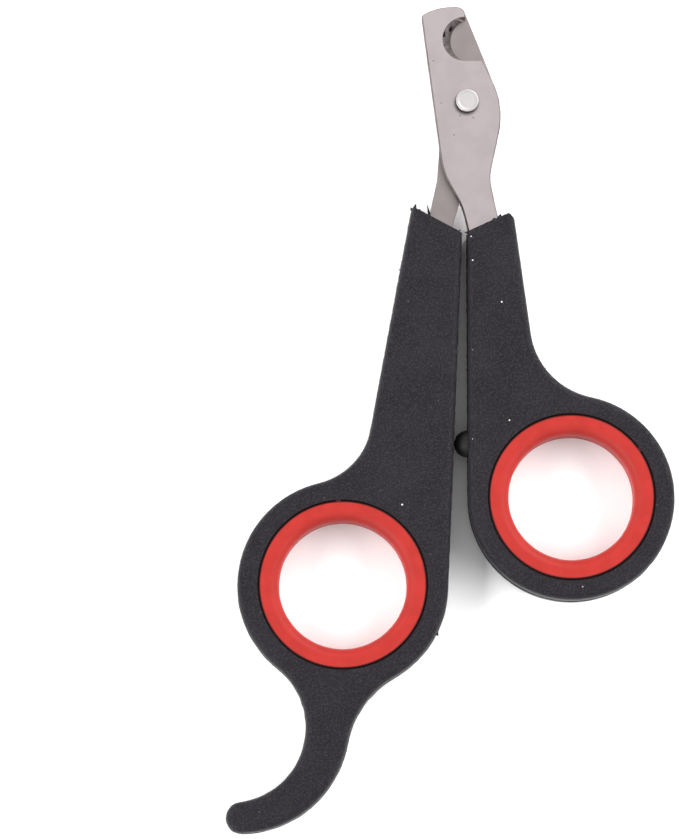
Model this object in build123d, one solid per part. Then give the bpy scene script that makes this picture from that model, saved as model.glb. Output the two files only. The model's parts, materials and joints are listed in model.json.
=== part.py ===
from build123d import *
import os
from math import atan, atan2, cos, degrees, radians, sin, sqrt, tan

# Scissor nail clipper, lying flat on its rear face with the blades closed.
# It is modelled about the rivet, whose axis is x = y = 0, with +Y to the blade tips and +Z up.
# At the end every piece is moved so that the origin is at the bottom centre of the whole.
# Millimetres and degrees. A lean is an angle from the Y axis.

# ---- Overall ----
handle_thickness = 6.4
tip_reach = 15.3               # rivet to the front blade's crown
right_ring_y = -62.75          # rivet to the ring centres, along Y
left_ring_y = -76.4
parting_x = -0.1               # the right handle's inner wall
left_wall_lean = 2.43          # the left handle's inner wall opens away from it

# ---- Blades ----
blade_thickness = 1.8
blade_clearance = 0.05         # between the rubbing faces
blade_edge_break = 0.18        # chamfer round each blade's outer face
spine_x = -5.35                # front blade's spine, level with the rivet
spine_lean = 7.5
rear_spine_x = 5.55
rear_spine_lean = 21.45
front_crown_in = 2.523         # front blade's spine corner to its crown, across
rear_crown_back = 3.655        # rear blade's spine corner to its crown, across
rear_tip_back = 6.505          # rear blade's spine corner to its tip, across
belly_x = 5.91                 # where the front blade's two flanks would meet
belly_y = -0.79
flank_lean = 25.0              # from the belly up to the shoulder
hook_x = -0.2                  # end of the front blade's hook
tang_root_y = -20.4            # where the tangs enter the handles
tang_length = 17.5             # inside the handle
tang_corner_r = 0.8
tang_hole_r = 1.0              # locking hole, filled by the handle
tang_hole_depth = 12.0         # tang root to locking hole
front_tang_leans = (11.8, 13.4)
rear_tang_lean = -12.2

# ---- Notches, measured on the rubbing faces ----
notch_r = 3.55
notch_x = 1.0
notch_from_tip = 5.25          # crown to the notch's centre
notch_slant = 36.0             # leaves a sharp edge on the rubbing face
swing = 42.0                   # closed to fully open, where the two notches make one hole

# ---- Rivet ----
rivet_shank_r = 1.25
rivet_running_gap = 0.04       # shank to the rear blade's hole, all round
rivet_face_gap = 0.05          # rear blade to the peened tail
rivet_head_r = 1.78
rivet_head_height = 0.8
rivet_head_break = 0.25
rivet_head_crown = 0.08
rivet_tail_r = 2.0
rivet_tail_height = 0.6
rivet_tail_break = 0.3

# ---- Handles ----
side_round = 1.0               # rounding along the long edges
rim_wall_right = 3.15          # round the ring inserts
rim_wall_left = 3.3
right_end_y = -20.99           # end face at the inner wall
right_end_rise = 24.3
right_flank_x = 7.15           # end face at the outer flank
right_flank_lean = 7.7
right_corner_r = 1.2
left_end_y = -21.18
left_end_rise = 28.3
left_flank_x = -8.74
left_flank_lean = 10.5
left_corner_r = 0.5
right_shoulder_r = 11.8        # hollow between grip and ring
left_shoulder_r = 10.7
clip_overhang = 0.02           # keeps the end's rounded corner off the flank face
spare_grip = 6.0               # the grip's length beyond its end face before it is cut
cut_past = 1.0                 # how far a cutter runs past a face

# ---- Finger rest, a horn below the left ring ----
hollow_angle = -128.2          # ring centre to the centre of the horn's hollow
hollow_r = 11.6
horn_tip_r = 2.4
horn_tip_angle = -83.0         # hollow's centre to the tip's
horn_back_r = 16.8
horn_back_angle = 91.0         # tip's centre to the back's
horn_root_r = 14.9             # hollow between the back and the ring

# ---- Ring inserts ----
finger_r_right = 9.75
finger_r_left = 9.9
insert_width = 3.1             # bore to outer edge
insert_round = 1.6             # from each face into the bore
insert_edge_break = 0.18
bead_height = 0.6              # snap bead, seated in the handle's groove
bead_width = 2.2
bead_ramp = 0.42               # width of the bead's sloping sides

# ---- Bumper, a round nose in the right handle's inner wall ----
bumper_y = -54.15
bumper_r = 2.13
stop_gap = 0.1                 # nose to the left handle with the blades closed
bumper_stem_r = 1.2
bumper_stem_length = 3.0


def slope(lean):
    return tan(radians(lean))


def toward(angle, length=1.0):
    """Vector of a length in a direction."""
    return Vector(length * cos(radians(angle)), length * sin(radians(angle)))


# ---- Sizes and places worked out from the above ----
mid_z = handle_thickness / 2
front_low = mid_z + blade_clearance / 2
front_high = front_low + blade_thickness
rear_high = mid_z - blade_clearance / 2
rear_low = rear_high - blade_thickness
tang_end_y = tang_root_y - tang_length
notch_y = tip_reach - notch_from_tip
rear_turn = swing - 2 * degrees(atan(notch_x / notch_y))   # rear head, from a mirrored front head
right_insert_r = finger_r_right + insert_width
left_insert_r = finger_r_left + insert_width
right_rim_r = right_insert_r + rim_wall_right
left_rim_r = left_insert_r + rim_wall_left
bumper_seat = Vector(parting_x, bumper_y)
wall_point = bumper_seat - toward(-left_wall_lean, bumper_r + stop_gap)


def left_wall_x(y):
    """Place across of the left handle's inner wall."""
    return wall_point.X + (y - wall_point.Y) * slope(left_wall_lean)


right_ring = Vector(parting_x + right_rim_r, right_ring_y)
left_ring = Vector(left_wall_x(left_ring_y) - left_rim_r / cos(radians(left_wall_lean)), left_ring_y)


# ---- Outline helpers ----
def leaning(x, y, lean, to_y):
    """Point at to_y on a line through (x, y) that goes to the right on its way down."""
    return x + (y - to_y) * slope(lean), to_y


def touch(centre_a, r_a, centre_b, r_b):
    """Where two circles meet that touch from outside."""
    return centre_a + (centre_b - centre_a) * (r_a / (r_a + r_b))


def between_circles(centre_a, reach_a, centre_b, reach_b):
    """Point at set distances from two centres, on the left going from a to b."""
    span = centre_b - centre_a
    along = (reach_a**2 - reach_b**2 + span.length**2) / (2 * span.length)
    aside = sqrt(reach_a**2 - along**2)
    unit = span.normalized()
    return centre_a + unit * along + Vector(-unit.Y, unit.X) * aside


def shoulder_centre(flank_top, down, out, shoulder_r, ring, rim_r):
    """Centre of the arc that joins a flank to a ring, in the hollow between them."""
    start = flank_top + out * shoulder_r - ring
    half = start.dot(down)
    run = -half - sqrt(half**2 - start.length**2 + (shoulder_r + rim_r) ** 2)
    return flank_top + out * shoulder_r + down * run


def arc(centre, start, end, turn):
    """Arc about a centre: counter-clockwise for turn 1, clockwise for turn -1."""
    first = degrees(atan2(start.Y - centre.Y, start.X - centre.X))
    last = degrees(atan2(end.Y - centre.Y, end.X - centre.X))
    sweep = turn * (last - first) % 360
    return ThreePointArc(start, centre + toward(first + turn * sweep / 2, (start - centre).length), end)


def cornered(*points):
    """Closed face from (x, y, corner radius) points."""
    path = FilletPolyline(*[(x, y) for x, y, _ in points], radius=[r for _, _, r in points], close=True)
    return make_face(path.edges())


# ---- Solid helpers ----
def slab(face, low, high):
    return Pos(0, 0, low) * extrude(face, high - low, dir=(0, 0, 1))


def upright_bar(x, y, r, low, high):
    return Pos(x, y, low) * Cylinder(r, high - low, align=(Align.CENTER, Align.CENTER, Align.MIN))


def turned(profile, centre):
    """Closed (radius, z) profile turned about an upright axis."""
    section = Plane.XZ * make_face(Polyline(*profile, close=True))
    return Pos(centre.X, centre.Y, 0) * revolve(section, Axis.Z)


def rim_edges(plate, height):
    """Edges of a plate that lie wholly at one height."""
    return plate.edges().filter_by_position(Axis.Z, height - 0.001, height + 0.001)


# ---- Blades ----
def notch_cutter(opening, outward):
    """Slanted cutter for a notch that is open towards opening * X.

    It starts at the rubbing face. outward is 1 if the blade's outer face is above, -1 if below.
    """
    wide = 2 * tip_reach
    mouth = Pos(opening * wide / 2, (wide - notch_r) / 2) * Rectangle(wide, wide + notch_r)
    step = Vector(-opening * slope(notch_slant), 0, outward)
    path = step * (blade_thickness + 2 * cut_past)
    return Pos(*(step * -cut_past)) * extrude(Circle(notch_r) + mouth, path.length, dir=path)


def tang_hole(outer, outer_lean, inner, inner_lean, low, high):
    """Cutter for the locking hole, midway between a tang's two edges."""
    y = tang_root_y - tang_hole_depth
    edges_x = leaning(*outer, outer_lean, y)[0], leaning(*inner, inner_lean, y)[0]
    return upright_bar(sum(edges_x) / 2, y, tang_hole_r, low - cut_past, high + cut_past)


def front_blade():
    """Upper blade: crown, hook, notch, belly and the tang that the right handle holds."""
    spine_top = leaning(spine_x, 0, spine_lean, tip_reach - 1.45)
    over_shoulder = leaning(belly_x, belly_y, flank_lean, notch_y - notch_r + 1)
    waist, diagonal = (3.45, -12.26), (-0.83, -16.84)
    outline = cornered(
        (*spine_top, 0.5),
        (spine_top[0] + front_crown_in, tip_reach + 0.02, 9.1),
        (hook_x, tip_reach - 0.03, 1.35),
        (hook_x, notch_y, 0),
        (*over_shoulder, 0),
        (belly_x, belly_y, 13.0),
        (*waist, 8.0),
        (*leaning(*waist, front_tang_leans[0], tang_end_y), tang_corner_r),
        (*leaning(*diagonal, front_tang_leans[1], tang_end_y), tang_corner_r),
        (*diagonal, 10.0),
        (-3.87, -11.21, 11.0),
    )
    plate = slab(outline, front_low, front_high)
    plate = chamfer(rim_edges(plate, front_high), blade_edge_break)
    plate -= Pos(notch_x, notch_y, front_low) * notch_cutter(1, 1)
    plate -= upright_bar(0, 0, rivet_shank_r, front_low - cut_past, front_high + cut_past)
    leans = front_tang_leans
    return plate - tang_hole(waist, leans[0], diagonal, leans[1], front_low, front_high)


def rear_blade():
    """Lower blade, in the left handle. Closed, its head is hidden behind the front blade."""
    notch = Vector(-notch_x, notch_y).rotate(Axis.Z, rear_turn)
    outer_notch = notch + toward(rear_turn, blade_thickness * slope(notch_slant))
    inside_notch = (notch + outer_notch) * 0.5
    over_shoulder = notch - toward(rear_turn + 90, notch_r - 1)
    outer_waist, inner_root = (-4.72, -12.2), (-2.6, tang_root_y)
    spine_top = leaning(rear_spine_x, 0, rear_spine_lean, tip_reach - 0.55)
    outline = cornered(
        (*spine_top, 0.6),
        (spine_top[0] - rear_crown_back, tip_reach - 0.35, 6.0),
        (spine_top[0] - rear_tip_back, tip_reach - 2.35, 0.5),
        (inside_notch.X, inside_notch.Y, 0),
        (-5.5, over_shoulder.Y, 0),
        (-4.33, -7.0, 12.0),
        (*outer_waist, 8.0),
        (*leaning(*outer_waist, rear_tang_lean, tang_end_y), tang_corner_r),
        (*leaning(*inner_root, rear_tang_lean, tang_end_y), tang_corner_r),
        (*inner_root, 6.0),
        (-0.5, -13.6, 7.0),
        (4.3, -5.5, 8.0),
        (*leaning(rear_spine_x, 0, rear_spine_lean, 2.4), 4.0),
    )
    plate = slab(outline, rear_low, rear_high)
    plate = chamfer(rim_edges(plate, rear_low), blade_edge_break)
    plate -= Rot(0, 0, rear_turn) * Pos(-notch_x, notch_y, rear_high) * notch_cutter(-1, -1)
    plate -= upright_bar(0, 0, rivet_shank_r + rivet_running_gap, rear_low - cut_past, rear_high + cut_past)
    return plate - tang_hole(outer_waist, rear_tang_lean, inner_root, rear_tang_lean, rear_low, rear_high)


def pivot_rivet():
    """Headed over the front blade and peened below the rear one."""
    tail_high = rear_low - rivet_face_gap
    tail_low = tail_high - rivet_tail_height
    head_high = front_high + rivet_head_height
    profile = [
        (0, tail_low),
        (rivet_tail_r - rivet_tail_break, tail_low),
        (rivet_tail_r, tail_low + rivet_tail_break),
        (rivet_tail_r, tail_high),
        (rivet_shank_r, tail_high),
        (rivet_shank_r, front_high),
        (rivet_head_r, front_high),
        (rivet_head_r, head_high - rivet_head_crown - rivet_head_break),
        (rivet_head_r - rivet_head_break, head_high - rivet_head_crown),
        (0, head_high),
    ]
    return turned(profile, Vector(0, 0))


# ---- Ring inserts and their seats ----
def insert_side(outer_r):
    """(radius, z) points up an insert's outer side and its snap bead."""
    half = bead_width / 2
    return [
        (outer_r, insert_edge_break),
        (outer_r, mid_z - half),
        (outer_r + bead_height, mid_z - half + bead_ramp),
        (outer_r + bead_height, mid_z + half - bead_ramp),
        (outer_r, mid_z + half),
        (outer_r, handle_thickness - insert_edge_break),
    ]


def ring_insert(bore_r, centre):
    """Soft ring with its face edges rounded into the bore."""
    flat_r = bore_r + insert_width - insert_edge_break
    profile = [(bore_r, 0), (flat_r, 0), *insert_side(bore_r + insert_width)]
    ring = turned([*profile, (flat_r, handle_thickness), (bore_r, handle_thickness)], centre)
    bore_edges = ring.edges().filter_by(GeomType.CIRCLE).sort_by(lambda edge: edge.radius)[:2]
    return fillet(bore_edges, insert_round)


def ring_seat(outer_r, centre):
    """What a handle loses for an insert: the hole, the bead's groove and both edge breaks."""
    low, high = -cut_past, handle_thickness + cut_past
    mouth_r = outer_r + insert_edge_break + cut_past
    return turned([(0, high), (0, low), (mouth_r, low), *insert_side(outer_r), (mouth_r, high)], centre)


# ---- Handles ----
def rounded_body(*edges):
    """Handle with its grip left long at the blade end, and its long edges rounded."""
    body = slab(make_face(edges), 0, handle_thickness)
    return fillet(rim_edges(body, 0) + rim_edges(body, handle_thickness), side_round)


def end_clip(inner_x, inner_y, rise, corner, down, corner_r, side):
    """Block that keeps what is below the slanted end face, whose outer corner is rounded."""
    far = 10 * tip_reach
    corner = corner + Vector(side, slope(rise)) * clip_overhang
    low = corner + down * 3 * corner_r
    outline = cornered(
        (inner_x - side * far, inner_y - far * slope(rise), 0),
        (corner.X, corner.Y, corner_r),
        (low.X, low.Y, 0),
        (side * far, low.Y, 0),
        (side * far, -far, 0),
        (inner_x - side * far, -far, 0),
    )
    return slab(outline, -cut_past, handle_thickness + cut_past)


def right_handle(blade, bumper):
    """Short handle with the plain ring, moulded round the front blade's tang."""
    down = Vector(sin(radians(right_flank_lean)), -cos(radians(right_flank_lean)))
    out = Vector(-down.Y, down.X)
    corner = Vector(right_flank_x, right_end_y + (right_flank_x - parting_x) * slope(right_end_rise))
    shoulder = shoulder_centre(corner, down, out, right_shoulder_r, right_ring, right_rim_r)
    flank_top, flank_foot = corner - down * spare_grip, shoulder - out * right_shoulder_r
    wall_top, wall_foot = Vector(parting_x, flank_top.Y), Vector(parting_x, right_ring.Y)
    ring_end = touch(right_ring, right_rim_r, shoulder, right_shoulder_r)
    body = rounded_body(
        Line(wall_top, wall_foot),
        arc(right_ring, wall_foot, ring_end, 1),
        arc(shoulder, ring_end, flank_foot, -1),
        Line(flank_foot, flank_top),
        Line(flank_top, wall_top),
    )
    body &= end_clip(parting_x, right_end_y, right_end_rise, corner, down, right_corner_r, 1)
    return body - ring_seat(right_insert_r, right_ring) - blade - bumper


def left_handle(blade):
    """Long handle, with the finger rest curling away below its ring."""
    down = Vector(-sin(radians(left_flank_lean)), -cos(radians(left_flank_lean)))
    out = Vector(down.Y, -down.X)
    inner_x = left_wall_x(left_end_y)
    corner = Vector(left_flank_x, left_end_y + (inner_x - left_flank_x) * slope(left_end_rise))
    shoulder = shoulder_centre(corner, down, out, left_shoulder_r, left_ring, left_rim_r)
    flank_top, flank_foot = corner - down * spare_grip, shoulder - out * left_shoulder_r
    wall_top = Vector(left_wall_x(flank_top.Y), flank_top.Y)
    wall_foot = left_ring + toward(-left_wall_lean, left_rim_r)
    hollow = left_ring + toward(hollow_angle, left_rim_r + hollow_r)
    tip = hollow + toward(horn_tip_angle, hollow_r + horn_tip_r)
    back = tip + toward(horn_back_angle, horn_back_r - horn_tip_r)
    root = between_circles(left_ring, left_rim_r + horn_root_r, back, horn_back_r + horn_root_r)
    over_hollow = touch(left_ring, left_rim_r, hollow, hollow_r)
    before_tip = touch(hollow, hollow_r, tip, horn_tip_r)
    after_tip = back + toward(horn_back_angle + 180, horn_back_r)
    before_root = touch(back, horn_back_r, root, horn_root_r)
    after_root = touch(left_ring, left_rim_r, root, horn_root_r)
    ring_start = touch(left_ring, left_rim_r, shoulder, left_shoulder_r)
    body = rounded_body(
        Line(wall_top, flank_top),
        Line(flank_top, flank_foot),
        arc(shoulder, flank_foot, ring_start, -1),
        arc(left_ring, ring_start, over_hollow, 1),
        arc(hollow, over_hollow, before_tip, -1),
        arc(tip, before_tip, after_tip, 1),
        arc(back, after_tip, before_root, 1),
        arc(root, before_root, after_root, -1),
        arc(left_ring, after_root, wall_foot, 1),
        Line(wall_foot, wall_top),
    )
    body &= end_clip(inner_x, left_end_y, left_end_rise, corner, down, left_corner_r, -1)
    return body - ring_seat(left_insert_r, left_ring) - blade


def stop_bumper():
    """Round rubber nose on a stem that is pushed into the right handle."""
    nose = Sphere(bumper_r, arc_size1=0, align=(Align.CENTER, Align.CENTER, Align.MIN))
    stem = Pos(0, 0, -bumper_stem_length) * Cylinder(
        bumper_stem_r, bumper_stem_length, align=(Align.CENTER, Align.CENTER, Align.MIN)
    )
    return Pos(bumper_seat.X, bumper_seat.Y, mid_z) * Rot(0, -90, 0) * (nose + stem)


# ---- Assembly ----
front, rear, bumper = front_blade(), rear_blade(), stop_bumper()
pieces = {
    "front_blade": front,
    "rear_blade": rear,
    "pivot_rivet": pivot_rivet(),
    "right_handle": right_handle(front, bumper),
    "left_handle": left_handle(rear),
    "right_ring_insert": ring_insert(finger_r_right, right_ring),
    "left_ring_insert": ring_insert(finger_r_left, left_ring),
    "stop_bumper": bumper,
}
whole = Compound(children=[Part(piece.wrapped) for piece in pieces.values()]).bounding_box()
origin = Vector((whole.min.X + whole.max.X) / 2, (whole.min.Y + whole.max.Y) / 2, whole.min.Z)

os.makedirs("parts", exist_ok=True)
for name, piece in pieces.items():
    export_step(Pos(*(origin * -1)) * piece, f"parts/{name}.step")

print("size", whole.size)
for name, place in {
    "rivet": Vector(0, 0),
    "right ring": right_ring,
    "left ring": left_ring,
    "bumper": bumper_seat,
}.items():
    print(name, "at", round(place.X - origin.X, 3), round(place.Y - origin.Y, 3))
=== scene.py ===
# %% [markdown]
# # Scissor nail clipper
# Small pet nail scissors: two notched steel blades on a rivet, black moulded handles and red
# ring inserts. The sizes, the moving parts and their hinge come from a CAD model that is
# already packed. Blender adds what a drawing leaves out: rounded edges, mould marks,
# ground and tumbled steel, moulded grain, dust, and the light that shows them.
# Loading the frame first matters, because every piece below is placed by it.

# %% Load the frame
import json
import math

import bmesh
import bpy
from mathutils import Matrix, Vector

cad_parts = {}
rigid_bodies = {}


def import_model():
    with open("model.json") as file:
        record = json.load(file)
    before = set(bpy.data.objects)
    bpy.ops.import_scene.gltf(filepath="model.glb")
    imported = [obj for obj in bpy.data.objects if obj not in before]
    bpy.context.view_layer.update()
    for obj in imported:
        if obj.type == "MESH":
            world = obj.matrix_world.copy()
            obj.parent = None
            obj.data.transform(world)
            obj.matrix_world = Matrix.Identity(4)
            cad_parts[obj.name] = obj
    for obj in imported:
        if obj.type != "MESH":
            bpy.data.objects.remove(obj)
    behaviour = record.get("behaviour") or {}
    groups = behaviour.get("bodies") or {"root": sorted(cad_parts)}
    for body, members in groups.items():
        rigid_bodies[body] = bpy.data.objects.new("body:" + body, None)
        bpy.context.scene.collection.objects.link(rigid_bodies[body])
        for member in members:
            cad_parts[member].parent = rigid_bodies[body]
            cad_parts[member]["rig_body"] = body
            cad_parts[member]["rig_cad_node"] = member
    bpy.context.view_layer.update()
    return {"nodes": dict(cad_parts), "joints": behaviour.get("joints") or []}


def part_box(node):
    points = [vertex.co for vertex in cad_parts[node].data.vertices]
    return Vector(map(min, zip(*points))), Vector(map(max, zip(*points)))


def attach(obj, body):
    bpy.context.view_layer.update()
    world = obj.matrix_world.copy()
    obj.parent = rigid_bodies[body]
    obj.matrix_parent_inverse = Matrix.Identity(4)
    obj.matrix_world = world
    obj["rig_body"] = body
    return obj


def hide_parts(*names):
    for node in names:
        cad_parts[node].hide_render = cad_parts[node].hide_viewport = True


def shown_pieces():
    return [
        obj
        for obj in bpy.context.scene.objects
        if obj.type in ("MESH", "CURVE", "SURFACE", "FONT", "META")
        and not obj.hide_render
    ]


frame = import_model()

print("CAD nodes:", sorted(frame["nodes"]))

# %% [markdown]
# ## Landmarks
# Blender works in metres, and a maker of scissors thinks in millimetres, so one value, mm,
# turns the one into the other. The rivet is the point that everything on the tool is
# measured from: its place comes from the hinge. The ring centres and the mid height of
# the handles come from the boxes of the CAD nodes, so nothing has to be typed twice.

# %% Rivet, rings and mid height
mm = 0.001


def middle(node):
    """Centre of a CAD node's box."""
    low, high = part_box(node)
    return (low + high) / 2


rivet = Vector(frame["joints"][0]["pos_m"])
right_ring, left_ring = middle("right_ring_insert"), middle("left_ring_insert")
mid_z = middle("right_handle").z
handle_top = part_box("right_handle")[1].z


def from_rivet(x, y, z=mid_z):
    """Point from millimetres right of and above the rivet, at a height in metres."""
    return Vector((rivet.x + x * mm, rivet.y + y * mm, z))


print("rivet", rivet, "rings", right_ring.xy, left_ring.xy, "handle top", handle_top)

# %% [markdown]
# ## Camera
# A flat tool is seen best from above through a long lens, so that its rings stay round. The
# camera stands over the rings and leans a little towards the blades, which is what shows the
# lower walls of the rings. It comes before the pieces, because its distance decides how fine
# their detail has to be.

# %% Camera over the rings
camera_place = Vector((-17.28, -79.55, 594.73)) * mm
camera_lean = 7.60            # degrees
lens_length = 163.98          # millimetres, as Blender wants it

camera = bpy.data.objects.new("camera", bpy.data.cameras.new("camera"))
camera.location = camera_place
camera.rotation_euler = (math.radians(camera_lean), 0, 0)
camera.data.lens = lens_length
camera.data.clip_start, camera.data.clip_end = 0.05, 20
bpy.context.scene.collection.objects.link(camera)
bpy.context.scene.camera = camera
print("camera at", [round(c, 4) for c in camera.location], "lens", round(camera.data.lens, 2), "mm")

# %% [markdown]
# ## Working on one piece at a time
# Blender's operators act on whatever is selected, as a hand tool acts on whatever is in the
# vice. These helpers clear the bench, put one piece on it, and pick faces, edges or points
# by a rule instead of by clicking. A rule such as "faces that look up, near the rivet"
# still works when the mesh changes.


# %% Bench helpers
def clear_bench():
    """Leaves edit mode and deselects everything, so that no operator touches another piece."""
    if bpy.context.mode != "OBJECT":
        bpy.ops.object.mode_set(mode="OBJECT")
    bpy.ops.object.select_all(action="DESELECT")


def only(piece):
    """Selects one piece alone and makes it active."""
    clear_bench()
    piece.hide_set(False)
    piece.select_set(True)
    bpy.context.view_layer.objects.active = piece


def edit(piece, kind="VERT"):
    """Opens a piece in edit mode with nothing selected."""
    only(piece)
    bpy.ops.object.mode_set(mode="EDIT")
    bpy.ops.mesh.select_mode(type=kind)
    bpy.ops.mesh.select_all(action="DESELECT")


def pick(piece, part, rule):
    """Selects the verts, edges or faces that a rule is true for, and says how many."""
    mesh = bmesh.from_edit_mesh(piece.data)
    picked = 0
    for element in getattr(mesh, part):
        if rule(element):
            element.select_set(True)
            picked += 1
    mesh.select_flush_mode()
    bmesh.update_edit_mesh(piece.data)
    return picked


def done():
    """Closes edit mode."""
    bpy.ops.object.mode_set(mode="OBJECT")


def settle(piece):
    """Puts a piece's place, turn and size into its points, so it ends at the origin unturned."""
    only(piece)
    bpy.ops.object.transform_apply(location=True, rotation=True, scale=True)


def apply(piece, kind, **settings):
    """Adds a modifier and applies it at once, so the mesh holds its result."""
    only(piece)
    modifier = piece.modifiers.new(kind.lower(), kind)
    for name, value in settings.items():
        setattr(modifier, name, value)
    bpy.ops.object.modifier_apply(modifier=modifier.name)


def centre_of(edge):
    """The middle of an edge."""
    return (edge.verts[0].co + edge.verts[1].co) / 2


# %% [markdown]
# ## From a CAD node to a Blender piece
# A CAD node arrives as loose triangles: right in shape, but each one shaded flat, with every
# corner as sharp as a knife. No moulded or tumbled part is like that. A copy is merged into
# one skin, its flat faces are dissolved into single faces, and then a narrow bevel goes on
# what is left sharp. The bevel is what catches the light along the edges.
# Weighted normals keep the big flat faces flat right up to the bevel.

# %% Copy, merge and soften
merge_distance = 0.0005 * mm
flat_angle = math.radians(0.25)
sharp_angle = math.radians(32)
crease_angle = math.radians(38)


def merged_copy(node, name):
    """A copy of a CAD node, merged into one skin with single flat faces."""
    only(frame["nodes"][node])
    bpy.ops.object.duplicate(linked=False)
    piece = bpy.context.active_object
    piece.name = piece.data.name = name
    bpy.ops.object.parent_clear(type="CLEAR_KEEP_TRANSFORM")
    del piece["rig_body"], piece["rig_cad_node"]
    if piece.data.has_custom_normals:
        bpy.ops.mesh.customdata_custom_splitnormals_clear()
    edit(piece)
    bpy.ops.mesh.select_all(action="SELECT")
    bpy.ops.mesh.remove_doubles(threshold=merge_distance)
    bpy.ops.mesh.dissolve_limited(angle_limit=flat_angle)
    done()
    return piece


def stand_in(piece, node):
    """A finished piece rides on a CAD node's body, and is shown instead of the node."""
    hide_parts(node)
    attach(piece, frame["nodes"][node]["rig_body"])
    print(piece.name, len(piece.data.vertices), "points", len(piece.data.polygons), "faces")


def soften(piece, width, segments=2):
    """Rounds every sharp edge, then shades the piece smooth with flat faces kept flat."""
    apply(piece, "BEVEL", width=width, segments=segments, limit_method="ANGLE",
          angle_limit=sharp_angle, use_clamp_overlap=True, miter_outer="MITER_ARC")
    shade(piece)


def shade(piece):
    """Smooth shading that breaks only at creases, and leaves big flat faces flat."""
    only(piece)
    bpy.ops.object.shade_smooth_by_angle(angle=crease_angle)
    apply(piece, "WEIGHTED_NORMAL", keep_sharp=True, weight=50)


# %% [markdown]
# ## Handles
# The handles are moulded round the blades' tangs. Their long edges already have a 1 mm
# rounding from the mould, so what is still sharp is the slanted end at the blades, where
# the mould shut off against the steel. A smooth subdivided cage could give soft edges too,
# but it would lose the true outline, so the CAD node's copy gets a very small bevel, which
# keeps that end crisp but not razor sharp.

# %% Handles
handle_break = 0.06 * mm

grips = {}
for side in ("right", "left"):
    grips[side] = merged_copy(side + "_handle", side + "_handle_moulded")
    soften(grips[side], handle_break)
    print(grips[side].name, "softened by", round(handle_break / mm, 2), "mm")

# %% [markdown]
# ## Parting line
# Two mould halves meet at mid height, and a little plastic always creeps between them. It
# leaves a fine, uneven bead along the outer walls, which shows from the side and roughens
# the outline from above. It could be a bump in the material, but a bump never changes an
# outline, so it is modelled: the outer wall is cut with a plane, the cut becomes a curve,
# the curve gets a round section, and a cloudy displacement makes it uneven.

# %% Parting line
bead_radius = 0.09 * mm
bead_lump = 0.8 * mm
bead_uneven = 1.6             # how far the lumps push the bead, in bead radii
long_edge = 3 * mm            # straight stretches longer than this are cut up
long_edge_cuts = 60
seat_reach = 14.2 * mm        # the ring seats are inside this radius
pocket_reach = 1.4 * mm       # the bumper's pocket in the right handle
end_reach = 26 * mm           # the handles' blade ends are this close to the rivet

bumper_axis = middle("stop_bumper")
inner_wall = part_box("right_handle")[0].x
lumps = bpy.data.textures.new("flash_lumps", "CLOUDS")
lumps.noise_scale = bead_lump


def is_outer_wall(face, ring):
    """True for the upright walls, but not the end, the ring seat or the bumper's pocket."""
    centre, normal = face.calc_center_median(), face.normal
    in_seat = (centre.xy - ring.xy).length < seat_reach
    in_pocket = (centre.yz - bumper_axis.yz).length < pocket_reach and centre.x > inner_wall
    is_end = normal.y > 0.7 and centre.y > rivet.y - end_reach
    return abs(normal.z) < 0.05 and not (in_seat or in_pocket or is_end)


def parting_line(side, ring):
    """The bead of plastic round one handle's outer wall."""
    line = merged_copy(side + "_handle", side + "_parting_line")
    edit(line, "FACE")
    pick(line, "faces", lambda face: not is_outer_wall(face, ring))
    bpy.ops.mesh.delete(type="FACE")
    bpy.ops.mesh.select_all(action="SELECT")
    bpy.ops.mesh.bisect(plane_co=(0, 0, mid_z), plane_no=(0, 0, 1), clear_inner=True,
                        clear_outer=True)
    bpy.ops.mesh.select_mode(type="EDGE")
    bpy.ops.mesh.select_all(action="DESELECT")
    pick(line, "edges", lambda edge: edge.calc_length() > long_edge)
    bpy.ops.mesh.subdivide(number_cuts=long_edge_cuts)
    done()
    bpy.ops.object.convert(target="CURVE")
    line.data.bevel_depth, line.data.bevel_resolution = bead_radius, 1
    line.data.use_fill_caps = True
    bpy.ops.object.convert(target="MESH")
    apply(line, "DISPLACE", texture=lumps, strength=bead_uneven * bead_radius, mid_level=0.5,
          texture_coords="OBJECT")
    shade(line)
    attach(line, side + "_half")
    print(line.name, len(line.data.polygons), "faces")


parting_line("right", right_ring)
parting_line("left", left_ring)
for side, grip in grips.items():
    stand_in(grip, side + "_handle")

# %% [markdown]
# ## Flash at the blade ends
# Where the mould closed on the steel, plastic squeezed out and was never trimmed: small torn
# shards stand up from the ends of the handles, beside the blades, and a few burrs along the
# left handle's outer wall. Each one starts as a five-sided cone, is cut once across to lose
# its needle point, has its points shaken a little so that no two edges match, and is pressed
# flat. They could be painted on, but only real ones break up the outline.

# %% Flash shards
shard_flatness = 0.3
shard_cut = 0.86              # where the needle point is cut off, as a share of the length
shard_shake = 0.07            # how far its points move, as a share of its width


def shard(place, length, width, heading, height, seed):
    """One torn shard. place is its root in millimetres from the rivet, heading in degrees."""
    clear_bench()
    bpy.ops.mesh.primitive_cone_add(vertices=5, radius1=width / 2 * mm, radius2=0, depth=length * mm,
                                    location=(0, 0, length / 2 * mm))
    piece = bpy.context.active_object
    settle(piece)
    edit(piece)
    bpy.ops.mesh.select_all(action="SELECT")
    bpy.ops.mesh.subdivide(number_cuts=2)
    bpy.ops.mesh.bisect(plane_co=(0, 0, shard_cut * length * mm), plane_no=(0.5, 0, 1),
                        clear_outer=True, use_fill=True)
    bpy.ops.mesh.select_all(action="SELECT")
    bpy.ops.transform.vertex_random(offset=shard_shake * width * mm, seed=seed)
    bpy.ops.mesh.normals_make_consistent(inside=False)
    done()
    piece.scale = (1, shard_flatness, 1)
    piece.rotation_euler = (math.radians(-90), 0, math.radians(heading))
    piece.location = from_rivet(*place, height)
    settle(piece)
    return piece


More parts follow.
